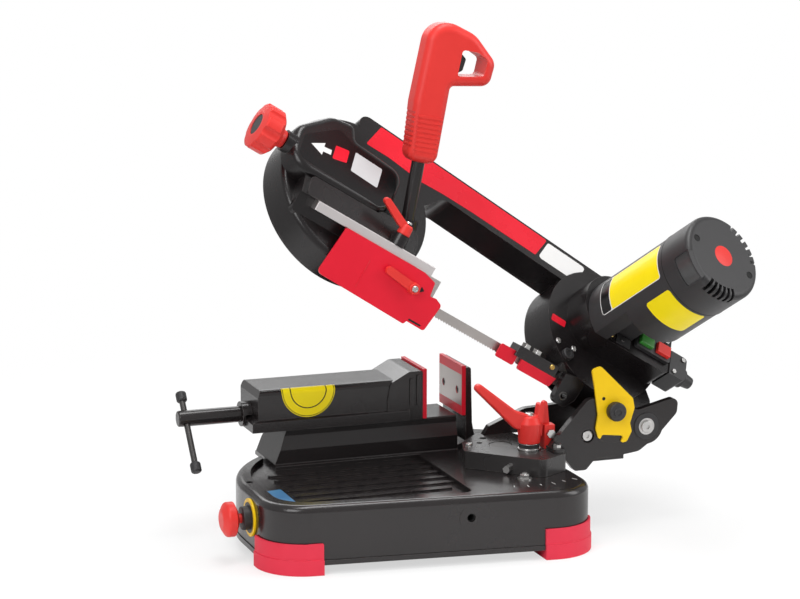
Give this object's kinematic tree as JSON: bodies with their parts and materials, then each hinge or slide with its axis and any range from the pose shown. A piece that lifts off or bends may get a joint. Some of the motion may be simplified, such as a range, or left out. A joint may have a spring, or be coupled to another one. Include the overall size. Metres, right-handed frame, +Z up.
{
  "type": "band saw",
  "caption": "Bench-top metal-cutting band saw with a tilting bow, screw vise on a ribbed base, swivelling turntable and upright trigger handle.",
  "frame": {"origin": "centre of the base footprint on the bench, under the middle of the chip tray", "axes": "+X along the vise towards the fixed jaw and bow pivot, +Y away from the front, +Z up"},
  "size_m": [0.6911, 0.3794, 0.6587],
  "materials": {
    "black_casting": "black paint, satin",
    "black_sheet": "black painted sheet",
    "black_plastic": "moulded, matt",
    "red_plastic": "moulded, half gloss",
    "red_metal": "red paint",
    "yellow_plate": "yellow paint",
    "green_plastic": "moulded",
    "cast_aluminium": "machined casting",
    "bright_steel": "bright plated",
    "steel": "ground"
  },
  "bodies": {
    "base": {"base_casting": "black_casting", "corner_feet": "red_plastic", "estop_ring": "yellow_plate", "estop_body": "black_plastic", "vise_bed": "black_casting", "vise_nut": "steel", "fixed_jaw_bracket": "black_casting", "fixed_jaw_plate": "red_metal", "fixed_jaw_screws": "bright_steel", "swivel_pin": "steel"},
    "estop": {"estop_head": "red_plastic"},
    "slider": {"vise_slider": "black_casting", "moving_jaw_plate": "red_metal", "moving_jaw_screws": "bright_steel", "screw_collar": "bright_steel"},
    "screw": {"vise_screw": "bright_steel"},
    "tommy": {"tommy_bar": "bright_steel", "tommy_knobs": "bright_steel"},
    "turntable": {"turntable_plate": "black_casting", "lock_stud": "bright_steel", "latch_block": "red_plastic", "pivot_support": "black_casting", "pivot_pin": "steel", "table_bolts": "bright_steel"},
    "table_lever": {"lock_lever": "red_plastic"},
    "bow": {"bow_casting": "black_casting", "rear_cover": "black_sheet", "blade": "steel", "gear_case": "black_plastic", "motor_housing": "black_plastic", "motor_stator": "steel", "motor_cap": "black_plastic", "motor_disc": "red_plastic", "switch_box": "black_plastic", "inlet_box": "black_plastic", "cable_gland": "black_plastic", "right_guide_bracket": "black_plastic", "right_guide_pads": "steel", "right_guide_covers": "red_metal", "handle_tube": "bright_steel", "handle_grip": "red_plastic", "bow_screws": "bright_steel"},
    "carriage": {"idler_carriage": "cast_aluminium"},
    "idler": {"idler_wheel": "cast_aluminium"},
    "tension": {"tension_knob": "red_plastic", "tension_cap": "black_plastic"},
    "drive": {"drive_wheel": "cast_aluminium", "output_shaft": "steel"},
    "counter": {"counter_shaft": "steel"},
    "rotor": {"motor_rotor": "steel"},
    "guide": {"guide_bar": "steel", "blade_guard": "red_metal", "left_guide": "bright_steel"},
    "bar_lever": {"clamp_lever": "red_plastic"},
    "guard_clamp": {"guard_lever": "red_plastic"},
    "trigger_key": {"trigger": "black_plastic"},
    "start_key": {"start_button": "green_plastic"},
    "stop_key": {"stop_button": "red_plastic"},
    "hold_plate": {"lock_plate": "yellow_plate"},
    "hold_knob": {"lock_knob": "black_plastic"}
  },
  "joints": [
    {"name": "estop_press", "type": "slide", "parent": "base", "child": "estop", "axis": [1, 0, 0], "range_m": [0, 0.004]},
    {"name": "vise_slide", "type": "slide", "parent": "base", "child": "slider", "axis": [1, 0, 0], "range_m": [-0.055, 0.049]},
    {"name": "vise_screw_turn", "type": "hinge", "parent": "slider", "child": "screw", "pos_m": [-0.2, 0.1065, 0.148], "axis": [1, 0, 0], "range_deg": [-4960, 4420]},
    {"name": "tommy_slide", "type": "slide", "parent": "screw", "child": "tommy", "axis": [0, 0.6428, 0.766], "range_m": [-0.013, 0.053]},
    {"name": "swivel", "type": "hinge", "parent": "base", "child": "turntable", "pos_m": [0.135, -0.02, 0.098], "axis": [0, 0, 1], "range_deg": [0, 45]},
    {"name": "table_lock", "type": "hinge", "parent": "turntable", "child": "table_lever", "pos_m": [0.16, -0.057, 0.13], "axis": [0, 0, 1], "range_deg": [0, 50]},
    {"name": "bow_pivot", "type": "hinge", "parent": "turntable", "child": "bow", "pos_m": [0.318, 0, 0.1315], "axis": [0, 1, 0], "range_deg": [-31, 8]},
    {"name": "carriage_slide", "type": "slide", "parent": "bow", "child": "carriage", "axis": [0.8536, 0, -0.521], "range_m": [0, 0.008]},
    {"name": "idler_spin", "type": "hinge", "parent": "carriage", "child": "idler", "pos_m": [-0.05749, 0.03464, 0.42996], "axis": [0.3349, -0.766, 0.5487], "continuous": true},
    {"name": "tension_turn", "type": "hinge", "parent": "bow", "child": "tension", "pos_m": [-0.16581, 0.00592, 0.52889], "axis": [0.8536, 0, -0.521], "range_deg": [-10, 1930]},
    {"name": "drive_spin", "type": "hinge", "parent": "bow", "child": "drive", "pos_m": [0.28393, 0.03464, 0.22155], "axis": [0.3349, -0.766, 0.5487], "continuous": true},
    {"name": "counter_spin", "type": "hinge", "parent": "bow", "child": "counter", "pos_m": [0.32933, 0.004, 0.22396], "axis": [0.3349, -0.766, 0.5487], "continuous": true},
    {"name": "rotor_spin", "type": "hinge", "parent": "bow", "child": "rotor", "pos_m": [0.32412, -0.05729, 0.28739], "axis": [0.3349, -0.766, 0.5487], "continuous": true},
    {"name": "guide_slide", "type": "slide", "parent": "bow", "child": "guide", "axis": [0.8536, 0, -0.521], "range_m": [-0.015, 0.06]},
    {"name": "bar_lock", "type": "hinge", "parent": "bow", "child": "bar_lever", "pos_m": [-0.00752, -0.043, 0.40049], "axis": [0.521, 0, 0.8536], "range_deg": [0, 60]},
    {"name": "guard_lock", "type": "hinge", "parent": "guide", "child": "guard_clamp", "pos_m": [-0.00092, -0.06, 0.33261], "axis": [0, -1, 0], "range_deg": [-30, 30]},
    {"name": "trigger_press", "type": "slide", "parent": "bow", "child": "trigger_key", "axis": [-0.9817, 0, 0.1906], "range_m": [0, 0.005], "stiffness_N_per_m": 600},
    {"name": "start_press", "type": "slide", "parent": "bow", "child": "start_key", "axis": [-0.3349, 0.766, -0.5487], "range_m": [0, 0.0025], "stiffness_N_per_m": 600},
    {"name": "stop_press", "type": "slide", "parent": "bow", "child": "stop_key", "axis": [-0.3349, 0.766, -0.5487], "range_m": [0, 0.0025], "stiffness_N_per_m": 600},
    {"name": "hold_plate_turn", "type": "hinge", "parent": "bow", "child": "hold_plate", "pos_m": [0.27035, -0.076, 0.15707], "axis": [0, -1, 0], "range_deg": [-6, 6]},
    {"name": "hold_knob_turn", "type": "hinge", "parent": "bow", "child": "hold_knob", "pos_m": [0.27035, -0.084, 0.15707], "axis": [0, -1, 0], "range_deg": [-90, 90]}
  ],
  "couplings": [
    {"joint": "vise_screw_turn", "follows": "vise_slide", "rad_per_m": 1570.8},
    {"joint": "tension_turn", "follows": "carriage_slide", "rad_per_m": 4188.8},
    {"joint": "counter_spin", "follows": "drive_spin", "ratio": -3.2857},
    {"joint": "rotor_spin", "follows": "drive_spin", "ratio": 13.143},
    {"joint": "idler_spin", "follows": "drive_spin", "ratio": 1}
  ]
}
